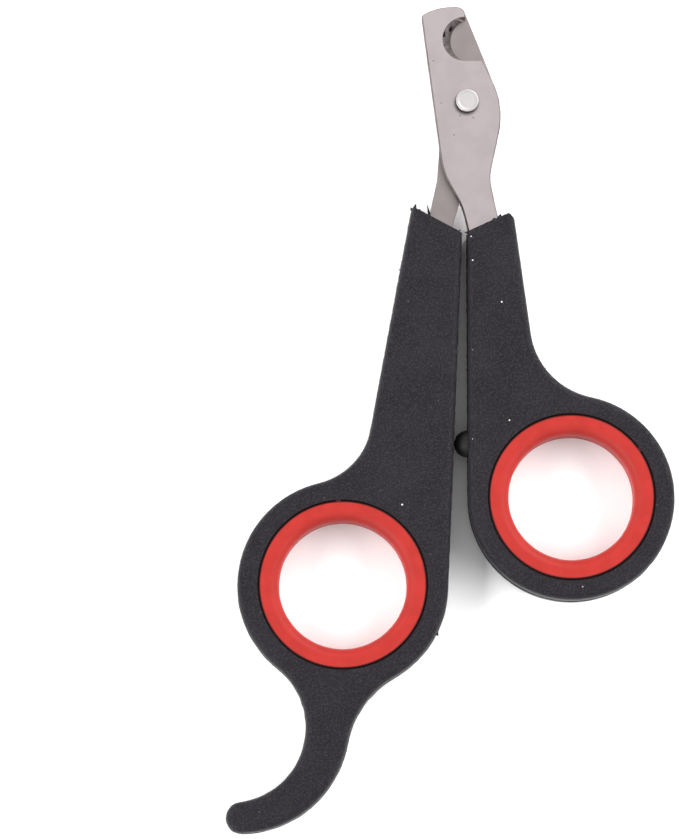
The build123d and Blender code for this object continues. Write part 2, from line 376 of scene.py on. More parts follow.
def flash(name, body, height, shards):
    """Several shards joined into one piece: (place, length, width, heading) each."""
    made = [shard(*values, height, seed) for seed, values in enumerate(shards)]
    clear_bench()
    for piece in made:
        piece.select_set(True)
    bpy.context.view_layer.objects.active = made[0]
    bpy.ops.object.join()
    joined = bpy.context.active_object
    joined.name = joined.data.name = name
    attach(joined, body)
    print(name, len(made), "shards", len(joined.data.polygons), "faces")


shut_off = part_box("front_blade")[1].z + 0.4 * mm
flash("left_flash", "left_half", shut_off, [
    ((-8.35, -17.25), 0.95, 0.7, -18), ((-8.7, -17.5), 0.6, 0.7, 30), ((-6.0, -18.3), 1.9, 0.5, 12),
    ((-7.6, -17.7), 0.5, 1.0, -12), ((-6.9, -18.1), 0.4, 0.9, 8), ((-5.2, -19.1), 0.4, 0.8, -8),
    ((-3.9, -19.9), 0.3, 1.0, -4), ((-2.2, -20.9), 0.3, 0.9, 6), ((-1.75, -21.1), 0.9, 0.6, -50),
])
flash("right_flash", "right_half", shut_off, [
    ((5.0, -18.75), 0.8, 0.9, -14), ((4.2, -19.05), 0.4, 1.1, 10), ((6.4, -18.2), 0.32, 1.3, -5),
    ((5.8, -18.45), 0.35, 1.2, 12), ((3.2, -19.6), 0.3, 1.2, -4), ((1.8, -20.4), 0.28, 1.2, 6),
    ((0.9, -20.95), 1.75, 0.8, 96),
])
flash("left_burrs", "left_half", mid_z, [
    ((-10.3, -26.7), 0.55, 0.7, 70), ((-8.95, -22.9), 0.3, 0.9, 85), ((-5.15, -83.6), 0.7, 1.0, 215),
    ((-11.9, -38.5), 0.3, 0.7, 80), ((-14.6, -53.0), 0.3, 0.6, 75),
])

# %% [markdown]
# ## Ring inserts
# Each soft ring is a separate moulding, snapped into the handle. Its face edges curve into the
# bore, where the finger slides. A plain torus would miss that shape, so the CAD node's copy is
# used, with the snap bead that sits in the handle's groove, and only its sharp rims are eased.

# %% Ring inserts
ring_break = 0.04 * mm

for side in ("right", "left"):
    insert = merged_copy(side + "_ring_insert", side + "_ring_moulded")
    soften(insert, ring_break)
    stand_in(insert, side + "_ring_insert")

# %% [markdown]
# ## Gate marks
# The rings were filled through a thin gate at their rim, and the gate was twisted off. What
# stays is a small stub in the groove between ring and handle. A short cylinder is inset and
# pushed in at the top, like a real torn gate, and its rim is bevelled.

# %% Gate marks
gate_radius = 0.34 * mm
gate_height = 0.3 * mm
gate_from_rim = 0.5 * mm      # in from the insert's widest circle
gate_sink = 0.05 * mm
gate_break = 0.03 * mm


def gate_mark(side, ring, angle):
    """The stub of one ring's gate. angle is its place round the ring, in degrees from +X."""
    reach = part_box(side + "_ring_insert")[1].x - ring.x - gate_from_rim
    turn = math.radians(angle)
    place = (ring.x + reach * math.cos(turn), ring.y + reach * math.sin(turn),
             handle_top - gate_height / 2)
    clear_bench()
    bpy.ops.mesh.primitive_cylinder_add(vertices=20, radius=gate_radius, depth=gate_height,
                                        location=place)
    stub = bpy.context.active_object
    stub.name = stub.data.name = side + "_gate_mark"
    settle(stub)
    edit(stub, "FACE")
    pick(stub, "faces", lambda face: face.normal.z > 0.9)
    bpy.ops.mesh.inset(thickness=0.4 * gate_radius)
    bpy.ops.transform.translate(value=(0, 0, -gate_sink))
    done()
    soften(stub, gate_break)
    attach(stub, side + "_half")
    print(stub.name, "at", [round(c / mm, 2) for c in (stub.data.vertices[0].co - rivet)])


gate_mark("left", left_ring, 93)
gate_mark("right", right_ring, 35)

# %% [markdown]
# ## Blades
# The blades are stamped from 1.8 mm stainless sheet, then tumbled, which takes the edge off
# every corner. The notch is ground in at a slant and stays rougher than the tumbled faces, so
# its wall is told apart by the way it leans, and gets a finish of its own later, painted darker
# partly for the grinding and partly as painted shade. So do the sheared walls, painted darker
# partly as shade, and the narrow rolled edges, painted darker as shade. The hook's point is
# polished round, so that it doesn't prick the paw: only the edges near it, on the top face, get
# a wider bevel. Cutting the blades anew from a plate would only repeat what the CAD node's
# copy already has.

# %% Blades
blade_break = 0.06 * mm
hook_polish = 0.16 * mm
notch_reach = 5.4 * mm
hook_point = from_rivet(-0.35, 13.9)
hook_reach = 1.0 * mm
notch_middle = from_rivet(0.6, 10.05)
blade_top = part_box("front_blade")[1].z
same_height = 0.01 * mm       # two heights this close count as one


def near(point, reach, place):
    """True for a point that is within reach of a place, seen from above."""
    return (point.xy - place.xy).length < reach


def is_notch_wall(face):
    """The slanted wall that the wheel ground."""
    leans = 0.3 < abs(face.normal.z) < 0.66
    return leans and near(face.calc_center_median(), notch_reach, notch_middle)


def is_sheared_wall(face):
    """The upright walls that the stamping left."""
    return abs(face.normal.z) < 0.25


def is_rolled_edge(face):
    """The narrow facets round a blade."""
    return 0.66 < abs(face.normal.z) < 0.97


front_steel = merged_copy("front_blade", "front_blade_tumbled")
edit(front_steel, "EDGE")
polished = pick(front_steel, "edges", lambda edge: near(centre_of(edge), hook_reach, hook_point)
                and abs(centre_of(edge).z - blade_top) < same_height)
bpy.ops.mesh.bevel(offset=hook_polish, segments=4, affect="EDGES", clamp_overlap=True)
done()
rear_steel = merged_copy("rear_blade", "rear_blade_tumbled")
for blade, node in ((front_steel, "front_blade"), (rear_steel, "rear_blade")):
    soften(blade, blade_break)
    stand_in(blade, node)
print("hook edges polished:", polished)

# %% [markdown]
# ## Rivet
# The rivet is a turned pin. It could be spun from a profile, but pushing one face of a
# cylinder down step by step follows how the pin is turned: head, shank and tail are one
# stack of insets and extrudes. Its head was struck by a flat punch, which leaves a shallow
# sunk disc inside a rounded rim.

# %% Rivet
rivet_low, rivet_high = (corner.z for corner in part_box("pivot_rivet"))
head_radius, shank_radius, tail_radius = 1.78 * mm, 1.25 * mm, 2.0 * mm
tail_height = 0.6 * mm
head_low = blade_top
tail_high = rivet_low + tail_height
punch_rim, punch_step, punch_depth = 0.5 * mm, 0.06 * mm, 0.04 * mm
rim_round = 0.12 * mm


def push_down(depth):
    """Pushes the picked face down and leaves a wall behind it."""
    bpy.ops.mesh.extrude_region_move(TRANSFORM_OT_translate={"value": (0, 0, -depth)})


clear_bench()
bpy.ops.mesh.primitive_cylinder_add(vertices=96, radius=head_radius, depth=rivet_high - head_low,
                                    location=(rivet.x, rivet.y, (rivet_high + head_low) / 2))
rivet_pin = bpy.context.active_object
rivet_pin.name = rivet_pin.data.name = "pivot_rivet_peened"
settle(rivet_pin)
edit(rivet_pin, "FACE")
pick(rivet_pin, "faces", lambda face: face.normal.z > 0.9)
bpy.ops.mesh.inset(thickness=punch_rim)
bpy.ops.mesh.inset(thickness=punch_step)
bpy.ops.transform.translate(value=(0, 0, -punch_depth))
bpy.ops.mesh.select_all(action="DESELECT")
pick(rivet_pin, "faces", lambda face: face.normal.z < -0.9)
bpy.ops.mesh.inset(thickness=head_radius - shank_radius)
push_down(head_low - tail_high)
push_down(0)
bpy.ops.transform.resize(value=(tail_radius / shank_radius,) * 2 + (1,), center_override=rivet)
push_down(tail_height)
done()
print(rivet_pin.name, "head, shank and tail,", len(rivet_pin.data.polygons), "faces")

# %% [markdown]
# The two rims are rounded last. A rim is the outer circle of edges at the very top or the
# very bottom, so the rule asks for a height and for a distance from the axis.

# %% Rivet rims
rims = {rivet_high: head_radius, rivet_low: tail_radius}


def is_rim(edge):
    """True for the outer circle of edges on the head's top and on the tail's bottom."""
    place = centre_of(edge)
    return any(abs(place.z - height) < same_height and not near(place, 0.99 * radius, rivet)
               for height, radius in rims.items())


edit(rivet_pin, "EDGE")
rim_edges = pick(rivet_pin, "edges", is_rim)
bpy.ops.mesh.bevel(offset=rim_round, segments=4, affect="EDGES")
done()
print("rim edges rounded:", rim_edges)
shade(rivet_pin)
stand_in(rivet_pin, "pivot_rivet")

# %% [markdown]
# ## Bumper
# A round rubber nose, pressed into the right handle, keeps the handles from knocking together.
# A cut-off ball could stand for it, but its curve is already fine in the CAD model, so the
# copy only needs merging and shading.

# %% Bumper
nose = merged_copy("stop_bumper", "stop_bumper_rubber")
shade(nose)
stand_in(nose, "stop_bumper")

# %% [markdown]
# ## Building materials from nodes
# A material is a small machine of nodes. A few helpers keep it readable: one adds a node, sets
# its options and joins its inputs, and the next ones are the sums and mixes that come back
# again and again. The last two make a group, which is a machine that several materials share,
# and place it. Everything reads Object coordinates, which are metres on the real tool, so a
# grain of 0.15 mm is written as 0.15 mm and is the same on every piece.


# %% Node helpers
def add(tree, kind, inputs=None, **settings):
    """One node. settings are its options, inputs its values or the sockets joined to it."""
    made = tree.nodes.new("ShaderNode" + kind)
    for option, value in settings.items():
        setattr(made, option, value)
    for label, value in (inputs or {}).items():
        if isinstance(value, bpy.types.NodeSocket):
            tree.links.new(value, made.inputs[label])
        else:
            made.inputs[label].default_value = value
    return made


def maths(tree, operation, first, second=0.0):
    """One sum with two numbers or sockets."""
    return add(tree, "Math", {0: first, 1: second}, operation=operation).outputs[0]


def vectors(tree, operation, first, second):
    """One sum with two vectors: a vector, or the distance or likeness of the two."""
    made = add(tree, "VectorMath", {0: first, 1: second}, operation=operation)
    return made.outputs["Value" if operation in ("DISTANCE", "DOT_PRODUCT") else "Vector"]


def soft_step(tree, value, start, end):
    """0 below start, 1 above end, and smooth between."""
    inputs = {"Value": value, "From Min": start, "From Max": end}
    return add(tree, "MapRange", inputs, interpolation_type="SMOOTHSTEP").outputs[0]


def mixed(tree, share, first, second):
    """Colour from first, at share 0, to second, at share 1."""
    return add(tree, "Mix", {0: share, 6: first, 7: second}, data_type="RGBA").outputs[2]


def coat(tree, under, mask, strength, over):
    """Lays a colour over what is under it, where the mask is and as strongly as asked."""
    return mixed(tree, maths(tree, "MULTIPLY", mask, strength), under, over)


def new_group(name, inputs, outputs):
    """An empty shader group: inputs are {label: start value}, and three numbers are a vector."""
    tree = bpy.data.node_groups.new(name, "ShaderNodeTree")
    for label, value in inputs.items():
        kind = "NodeSocketVector" if isinstance(value, tuple) else "NodeSocketFloat"
        tree.interface.new_socket(label, in_out="INPUT", socket_type=kind).default_value = value
    for label in outputs:
        tree.interface.new_socket(label, in_out="OUTPUT", socket_type="NodeSocketFloat")
    given = tree.nodes.new("NodeGroupInput").outputs
    return tree, given, tree.nodes.new("NodeGroupOutput").inputs


def use(tree, group, **inputs):
    """Places a group in a material and gives back its outputs."""
    return add(tree, "Group", inputs, node_tree=group).outputs


# %% [markdown]
# ## Shared effects
# Moulded plastic, rubber and tumbled steel all have a fine grain, a slow drift in tone, dust
# or pits that lie scattered, and long thin marks from handling. Each is one group, and each
# material sets its size. Grain comes first: one noise at the grain's size is the height, and
# one far broader is the drift in tone.

# %% Grain and tone
tone_breadth = 22.0           # the drift in tone is this many times as broad as the grain

grain_group, given, out = new_group(
    "surface_grain", {"Place": (0, 0, 0), "Grain": 0.15 * mm}, ["Height", "Tone"])
per_metre = maths(grain_group, "DIVIDE", 1.0, given["Grain"])
fine = add(grain_group, "TexNoise", {"Vector": given["Place"], "Scale": per_metre, "Detail": 2.0})
broad_scale = maths(grain_group, "DIVIDE", per_metre, tone_breadth)
broad = add(grain_group, "TexNoise", {"Vector": given["Place"], "Scale": broad_scale, "Detail": 3.0})
grain_group.links.new(fine.outputs["Fac"], out["Height"])
grain_group.links.new(soft_step(grain_group, broad.outputs["Fac"], 0.35, 0.65), out["Tone"])
print(grain_group.name, len(grain_group.nodes), "nodes")

# %% [markdown]
# Dust and pits lie anywhere, so space is divided into cells, and a cell's own random colour
# decides whether it holds a speck and how big that is. The distance to the cell's point then
# gives a round dot, and a noise shifts the coordinates first, which makes it ragged.

# %% Scattered specks
speck_group, given, out = new_group(
    "scattered_specks",
    {"Place": (0, 0, 0), "Spacing": 3 * mm, "Size": 0.2 * mm, "Share": 0.3}, ["Mask"])
ragged_scale = maths(speck_group, "DIVIDE", 1.5, given["Size"])
ragged = add(speck_group, "TexNoise", {"Vector": given["Place"], "Scale": ragged_scale})
off_centre = vectors(speck_group, "SUBTRACT", ragged.outputs["Color"], (0.5, 0.5, 0.5))
shifted = add(speck_group, "VectorMath", {0: off_centre, "Scale": given["Size"]}, operation="SCALE")
warped = vectors(speck_group, "ADD", given["Place"], shifted.outputs[0])
cells_per_metre = maths(speck_group, "DIVIDE", 1.0, given["Spacing"])
cells = add(speck_group, "TexVoronoi", {"Vector": warped, "Scale": cells_per_metre})
chance = add(speck_group, "SeparateColor", {0: cells.outputs["Color"]}).outputs
distance = maths(speck_group, "MULTIPLY", cells.outputs["Distance"], given["Spacing"])
own_size = maths(speck_group, "MULTIPLY", given["Size"], maths(speck_group, "ADD", chance["Green"], 0.35))
inside = maths(speck_group, "LESS_THAN", distance, own_size)
chosen = maths(speck_group, "LESS_THAN", chance["Red"], given["Share"])
speck_group.links.new(maths(speck_group, "MULTIPLY", inside, chosen), out["Mask"])
print(speck_group.name, len(speck_group.nodes), "nodes")

# %% [markdown]
# Handling leaves hairlines that run one way. A noise that is stretched far more along than
# across gives them, and a second, broad noise keeps them in patches.

# %% Hairline scuffs
scuff_group, given, out = new_group(
    "hairline_scuffs",
    {"Place": (0, 0, 0), "Length": 6 * mm, "Width": 0.1 * mm, "Turn": 0.5}, ["Mask"])
turned = add(scuff_group, "VectorRotate", {"Vector": given["Place"], "Angle": given["Turn"]},
             rotation_type="Z_AXIS")
along = maths(scuff_group, "DIVIDE", 1.0, given["Length"])
across = maths(scuff_group, "DIVIDE", 1.0, given["Width"])
stretch = add(scuff_group, "CombineXYZ", {0: along, 1: across, 2: along}).outputs[0]
drawn = vectors(scuff_group, "MULTIPLY", turned.outputs[0], stretch)
hairs = add(scuff_group, "TexNoise", {"Vector": drawn, "Scale": 1.0, "Detail": 1.0})
where = add(scuff_group, "TexNoise", {"Vector": given["Place"], "Scale": 90.0})
hair = soft_step(scuff_group, hairs.outputs["Fac"], 0.68, 0.74)
patch = soft_step(scuff_group, where.outputs["Fac"], 0.5, 0.62)
scuff_group.links.new(maths(scuff_group, "MULTIPLY", hair, patch), out["Mask"])
print(scuff_group.name, len(scuff_group.nodes), "nodes")

# %% [markdown]
# Edges wear first, and they also catch the light: this mask lightens them, partly as real wear
# and partly as a painted highlight. The Bevel node gives the normal that a rounded edge would
# have, and where that differs from the true normal there is an edge close by. A little noise
# breaks the line up, because wear is never even.

# %% Edge wear and painted highlight
wear_and_highlight_group, given, out = new_group(
    "edge_wear", {"Place": (0, 0, 0), "Reach": 0.3 * mm, "Patchy": 700.0}, ["Mask"])
rounded = add(wear_and_highlight_group, "Bevel", {"Radius": given["Reach"]}, samples=6)
true_normal = add(wear_and_highlight_group, "NewGeometry").outputs["Normal"]
likeness = vectors(wear_and_highlight_group, "DOT_PRODUCT", rounded.outputs[0], true_normal)
edge = soft_step(wear_and_highlight_group, maths(wear_and_highlight_group, "SUBTRACT", 1.0, likeness), 0.01, 0.12)
breaks = add(wear_and_highlight_group, "TexNoise", {"Vector": given["Place"], "Scale": given["Patchy"]})
kept = soft_step(wear_and_highlight_group, breaks.outputs["Fac"], 0.3, 0.6)
wear_and_highlight_group.links.new(maths(wear_and_highlight_group, "MULTIPLY", edge, kept), out["Mask"])
print(wear_and_highlight_group.name, len(wear_and_highlight_group.nodes), "nodes")

# %% [markdown]
# Some marks sit at one known place, such as a pit beside the rivet. A spot is the ball
# of points within a radius of its centre, with a wavy rim.

# %% One spot
spot_group, given, out = new_group(
    "single_spot",
    {"Place": (0, 0, 0), "Centre": (0, 0, 0), "Size": 0.3 * mm, "Ragged": 1.0}, ["Mask"])
wavy = add(spot_group, "TexNoise", {"Vector": given["Place"], "Scale": 4000.0})
off_middle = maths(spot_group, "SUBTRACT", wavy.outputs["Fac"], 0.5)
off_round = maths(spot_group, "MULTIPLY", off_middle, given["Ragged"])
gap = vectors(spot_group, "DISTANCE", given["Place"], given["Centre"])
reach = maths(spot_group, "MULTIPLY", given["Size"], maths(spot_group, "ADD", off_round, 1.0))
outside = soft_step(spot_group, maths(spot_group, "DIVIDE", gap, reach), 0.7, 1.1)
spot_group.links.new(maths(spot_group, "SUBTRACT", 1.0, outside), out["Mask"])
print(spot_group.name, len(spot_group.nodes), "nodes")

# %% [markdown]
# A dark line runs along the seam where a red ring meets its handle. The seam is a circle
# about the ring's axis, so the mask is a narrow band of distances from that axis.

# %% Dark seam
seam_group, given, out = new_group(
    "round_seam",
    {"Place": (0, 0, 0), "Centre": (0, 0, 0), "Radius": 13 * mm, "Width": 0.2 * mm}, ["Mask"])
flat_place = vectors(seam_group, "MULTIPLY", given["Place"], (1, 1, 0))
from_axis = vectors(seam_group, "DISTANCE", flat_place, given["Centre"])
off_seam = maths(seam_group, "SUBTRACT", from_axis, given["Radius"])
off_share = maths(seam_group, "DIVIDE", maths(seam_group, "ABSOLUTE", off_seam), given["Width"])
outside = soft_step(seam_group, off_share, 0.4, 1.2)
seam_group.links.new(maths(seam_group, "SUBTRACT", 1.0, outside), out["Mask"])
print(seam_group.name, len(seam_group.nodes), "nodes")

# %% [markdown]
# ## Starting a material
# Every material opens in the same way, and most end in the same way too: a colour and a
# roughness go to the shader, and a height that stands for a real depth becomes a bump.

# %% Starting a material
bead_grip = 0.64 * mm         # the hidden snap bead stands out this far beyond the seam


def new_material(name):
    """A material with a Principled shader, and the Object coordinates that it reads."""
    material = bpy.data.materials.new(name)
    material.use_nodes = True
    tree = material.node_tree
    shader = tree.nodes["Principled BSDF"]
    place = add(tree, "TexCoord").outputs["Object"]
    return material, tree, shader, place


def spots(tree, place, centres, size):
    """One mask for several spots. centres are points in the frame."""
    mask = None
    for centre in centres:
        spot = use(tree, spot_group, Place=place, Centre=tuple(centre), Size=size)["Mask"]
        mask = spot if mask is None else maths(tree, "MAXIMUM", mask, spot)
    return mask


def ring_seams(tree, place, width):
    """One mask for the seams of both rings."""
    seams = []
    for side, ring in (("right", right_ring), ("left", left_ring)):
        low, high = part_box(side + "_ring_insert")
        radius = (high.x - low.x) / 2 - bead_grip
        seams.append(use(tree, seam_group, Place=place, Centre=(ring.x, ring.y, 0), Radius=radius,
                         Width=width)["Mask"])
    return maths(tree, "MAXIMUM", *seams)


def raise_surface(tree, shader, height, depth):
    """Bump from a height of 0 to 1 that stands for a real depth in metres."""
    bump = add(tree, "Bump", {"Height": maths(tree, "MULTIPLY", height, depth), "Distance": 1.0})
    tree.links.new(bump.outputs["Normal"], shader.inputs["Normal"])


def paint(tree, shader, colour, roughness):
    """Joins a colour and a roughness to the shader."""
    tree.links.new(colour, shader.inputs["Base Color"])
    tree.links.new(roughness, shader.inputs["Roughness"])


# %% [markdown]
# ## Black handle plastic
# Polypropylene from a spark-eroded mould: nearly black, satin, with a fine pebble. White dust
# clings to it, handling leaves grey hairlines, and the edges are lighter, partly rubbed and
# partly a painted highlight; one white spot on the right handle's inner top corner is a painted
# highlight too. The layers go on in the order in which the real ones did: grain, lint, scuffs,
# wear and highlight, then dust and the dark line in the seams. Each layer has a mask and a
# strength, so it can be changed alone.

# %% Handle plastic
dust_and_glint_spots = [from_rivet(x, y, handle_top) for x, y in
            ((0.7, -25.6), (5.2, -32.2), (6.3, -50.8), (-10.4, -64.0))]
# Painted highlight: a white spot on the right handle's inner top corner, where its bevel catches the
# light.
dust_and_glint_spots.append(from_rivet(0.5, -21.8, handle_top - 0.15 * mm))

handle_plastic, tree, shader, place = new_material("black_moulded_plastic")
shader.inputs["Specular IOR Level"].default_value = 0.16
grain = use(tree, grain_group, Place=place, Grain=0.28 * mm)
dust = use(tree, speck_group, Place=place, Spacing=3.2 * mm, Size=0.13 * mm, Share=0.35)["Mask"]
scuffs = use(tree, scuff_group, Place=place, Length=2.5 * mm, Width=0.08 * mm, Turn=1.1)["Mask"]
wear_and_highlight = use(tree, wear_and_highlight_group, Place=place, Reach=0.25 * mm)["Mask"]
chosen_dust_and_glint = spots(tree, place, dust_and_glint_spots, 0.13 * mm)
colour = mixed(tree, grain["Tone"], (0.0090, 0.0082, 0.0098, 1), (0.0115, 0.0105, 0.0125, 1))
pebble = soft_step(tree, grain["Height"], 0.42, 0.7)
colour = coat(tree, colour, pebble, 0.8, (0.026, 0.024, 0.028, 1))
lint = use(tree, speck_group, Place=place, Spacing=1.1 * mm, Size=0.07 * mm, Share=0.3)["Mask"]
colour = coat(tree, colour, lint, 0.5, (0.12, 0.12, 0.125, 1))
colour = coat(tree, colour, scuffs, 0.25, (0.05, 0.05, 0.052, 1))
# Lighter edges: partly rubbed, partly a painted highlight.
colour = coat(tree, colour, wear_and_highlight, 0.3, (0.06, 0.06, 0.06, 1))
all_dust_and_glint = maths(tree, "MAXIMUM", maths(tree, "MULTIPLY", dust, 0.6), chosen_dust_and_glint)
colour = mixed(tree, all_dust_and_glint, colour, (0.6, 0.6, 0.6, 1))
colour = mixed(tree, ring_seams(tree, place, 0.3 * mm), colour, (0.002, 0.001, 0.001, 1))
satin = maths(tree, "ADD", maths(tree, "MULTIPLY", grain["Tone"], 0.04), 0.44)
paint(tree, shader, colour, maths(tree, "ADD", satin, maths(tree, "MULTIPLY", dust, 0.3)))
height = maths(tree, "ADD", grain["Height"], maths(tree, "MULTIPLY", dust, 4.0))
raise_surface(tree, shader, height, 0.010 * mm)
print(handle_plastic.name, len(tree.nodes), "nodes")

# %% [markdown]
# ## Red ring plastic
# A softer, glossier moulding. Its red drifts slowly in tone, and the grain is finer than the
# handle's. The same layers are used again, with fewer marks, because a finger wipes them off.

# %% Ring plastic
ring_plastic, tree, shader, place = new_material("red_ring_plastic")
shader.inputs["Specular IOR Level"].default_value = 0.4
grain = use(tree, grain_group, Place=place, Grain=0.12 * mm)
dust = use(tree, speck_group, Place=place, Spacing=4 * mm, Size=0.1 * mm, Share=0.25)["Mask"]
wear_and_highlight = use(tree, wear_and_highlight_group, Place=place, Reach=0.2 * mm)["Mask"]
colour = mixed(tree, grain["Tone"], (0.27, 0.0135, 0.0095, 1), (0.30, 0.0155, 0.0115, 1))
# Lighter red edges: partly rubbed, partly a painted highlight.
colour = coat(tree, colour, wear_and_highlight, 0.35, (0.55, 0.10, 0.08, 1))
colour = coat(tree, colour, dust, 0.5, (0.25, 0.02, 0.02, 1))
colour = coat(tree, colour, ring_seams(tree, place, 0.26 * mm), 0.93, (0.012, 0.002, 0.002, 1))
paint(tree, shader, colour, maths(tree, "ADD", maths(tree, "MULTIPLY", grain["Tone"], 0.05), 0.48))
raise_surface(tree, shader, grain["Height"], 0.006 * mm)
print(ring_plastic.name, len(tree.nodes), "nodes")

# %% [markdown]
# ## Tumbled steel
# Stainless sheet that was tumbled with stones: a soft, warm grey without direction, brighter on
# its edges, partly from rubbing and partly as a painted highlight, with a few dark pits that the
# stones didn't reach. A painted shadow lies round the rivet's head, a little to its lower left,
# and only on the blade that the head sits on. One function makes the five steels, because they
# differ only in tone, grain, painted shadow and the brighter edges; the rear blade's darker
# tone is painted shade.

# %% Blade steel
pit_places = [from_rivet(x, y, blade_top) for x, y in
              ((-5.3, 6.5), (-4.1, -0.25), (-1.15, -2.3), (0.9, -2.65), (-2.1, -5.4))]
# Painted shadow round the rivet's head: a dark spot set a little to the head's lower left.
rivet_shadow_place = tuple(from_rivet(-0.14, -0.27, blade_top))
rivet_shadow_radius = 2.05 * mm


def steel(name, dark, light, rough, grain_depth, grain_size=0.14 * mm, rivet_shadow_share=0.0, wear_and_highlight_share=0.3):
    """Steel from a darker to a lighter tone. The two shares, from 0 to 1, set the painted shadow round
    the rivet's head and the brighter edges, which are partly rubbed and partly a painted highlight.
    """
    material, tree, shader, place = new_material(name)
    shader.inputs["Metallic"].default_value = 1.0
    grain = use(tree, grain_group, Place=place, Grain=grain_size)
    pits = use(tree, speck_group, Place=place, Spacing=2.6 * mm, Size=0.10 * mm, Share=0.3)["Mask"]
    scuffs = use(tree, scuff_group, Place=place, Length=3 * mm, Width=0.08 * mm, Turn=0.2)["Mask"]
    wear_and_highlight = use(tree, wear_and_highlight_group, Place=place, Reach=0.22 * mm)["Mask"]
    chosen = spots(tree, place, pit_places, 0.15 * mm)
    pitted = maths(tree, "MAXIMUM", maths(tree, "MULTIPLY", pits, 0.5),
                   maths(tree, "MULTIPLY", chosen, 0.6))
    rivet_shadow_mask = use(tree, spot_group, Place=place, Centre=rivet_shadow_place, Size=rivet_shadow_radius,
                Ragged=0.12)["Mask"]
    colour = mixed(tree, grain["Tone"], dark, light)
    colour = coat(tree, colour, scuffs, 0.25, (0.8, 0.76, 0.76, 1))
    # Brighter edges: partly rubbed, partly a painted highlight.
    colour = coat(tree, colour, wear_and_highlight, wear_and_highlight_share, (0.95, 0.92, 0.92, 1))
    colour = mixed(tree, pitted, colour, (0.12, 0.10, 0.10, 1))
    # Painted shadow round the rivet's head, as strong as its share asks.
    colour = coat(tree, colour, rivet_shadow_mask, rivet_shadow_share, (0.03, 0.025, 0.025, 1))
    base = maths(tree, "ADD", maths(tree, "MULTIPLY", grain["Tone"], 0.01), rough)
    paint(tree, shader, colour, maths(tree, "SUBTRACT", base, maths(tree, "MULTIPLY", wear_and_highlight, 0.12)))
    height = maths(tree, "SUBTRACT", grain["Height"], maths(tree, "MULTIPLY", pitted, 3.0))
    raise_surface(tree, shader, height, grain_depth)
    print(name, len(tree.nodes), "nodes")
    return material


# Only the front blade, which the head sits on, carries the painted shadow round the rivet.
front_finish = steel("tumbled_steel", (0.765, 0.673, 0.684, 1), (0.815, 0.718, 0.729, 1),
                     0.34, 0.006 * mm, rivet_shadow_share=0.85)
# The rear blade is the same steel painted darker than the front, as painted shade.
rear_shaded_finish = steel("shaded_steel", (0.515, 0.452, 0.447, 1), (0.56, 0.49, 0.485, 1),
                    0.34, 0.007 * mm)
# The rolled edges are the same steel painted darker, as painted shade along the blades' outlines.
rolled_edge_shaded_finish = steel("rolled_edge_steel", (0.20, 0.174, 0.178, 1), (0.26, 0.226, 0.232, 1),
                      0.38, 0.006 * mm, wear_and_highlight_share=0.05)
# The sheared walls are rough steel, painted darker partly as painted shade; on the rivet's walls this
# steel is a painted shadow under the head.
sheared_and_shaded_finish = steel("sheared_steel", (0.13, 0.115, 0.12, 1), (0.22, 0.20, 0.20, 1),
                       0.5, 0.012 * mm)
rivet_finish = steel("rivet_steel_bright", (0.94, 0.88, 0.885, 1), (0.98, 0.94, 0.94, 1),
                     0.42, 0.018 * mm, grain_size=0.45 * mm)

# %% [markdown]
# ## Ground notch
# The slanted wall of the notch was ground with a small wheel, so its marks run up the wall, all
# round the notch's own centre. An angle about that centre drives the noise, which a Mapping
# node makes possible by moving the centre of the coordinates to the notch. Grinding also
# burnt the steel here and there, which is what the dark specks are.

# %% Ground notch steel
strokes_per_radian = 26.0
strokes_per_metre = 500.0

ground_and_shaded_notch, tree, shader, place = new_material("ground_notch_steel")
shader.inputs["Metallic"].default_value = 1.0
centred = add(tree, "Mapping", {"Vector": place, "Location": -notch_middle}).outputs[0]
apart = add(tree, "SeparateXYZ", {0: centred}).outputs
angle = maths(tree, "ARCTAN2", apart["Y"], apart["X"])
round_wall = maths(tree, "MULTIPLY", angle, strokes_per_radian)
up_wall = maths(tree, "MULTIPLY", apart["Z"], strokes_per_metre)
round_notch = add(tree, "CombineXYZ", {0: round_wall, 1: up_wall}).outputs[0]
strokes = add(tree, "TexNoise", {"Vector": round_notch, "Scale": 1.0, "Detail": 4.0}).outputs["Fac"]
burnt = use(tree, speck_group, Place=place, Spacing=0.7 * mm, Size=0.14 * mm, Share=0.45)["Mask"]
burnt_places = [from_rivet(-3.65, 10.8, blade_top - 0.2 * mm),
                from_rivet(-2.5, 11.9, blade_top - 1.1 * mm)]
burnt_dots = spots(tree, place, burnt_places, 0.5 * mm)
all_burnt = maths(tree, "MAXIMUM", maths(tree, "MULTIPLY", burnt, 0.7), burnt_dots)
bright_stroke = soft_step(tree, strokes, 0.35, 0.68)
# The notch steel is painted darker than the tumbled faces: partly its ground finish, partly painted shade
# from the dark surroundings it mirrors.
colour = mixed(tree, bright_stroke, (0.18, 0.156, 0.16, 1), (0.33, 0.288, 0.295, 1))
colour = mixed(tree, all_burnt, colour, (0.015, 0.012, 0.014, 1))
paint(tree, shader, colour, maths(tree, "ADD", maths(tree, "MULTIPLY", strokes, 0.1), 0.5))
raise_surface(tree, shader, strokes, 0.012 * mm)
print(ground_and_shaded_notch.name, len(tree.nodes), "nodes")

# %% [markdown]
# ## Rubber bumper
# Matt, black and a little dusty, with no worn edges because it is all one curve.

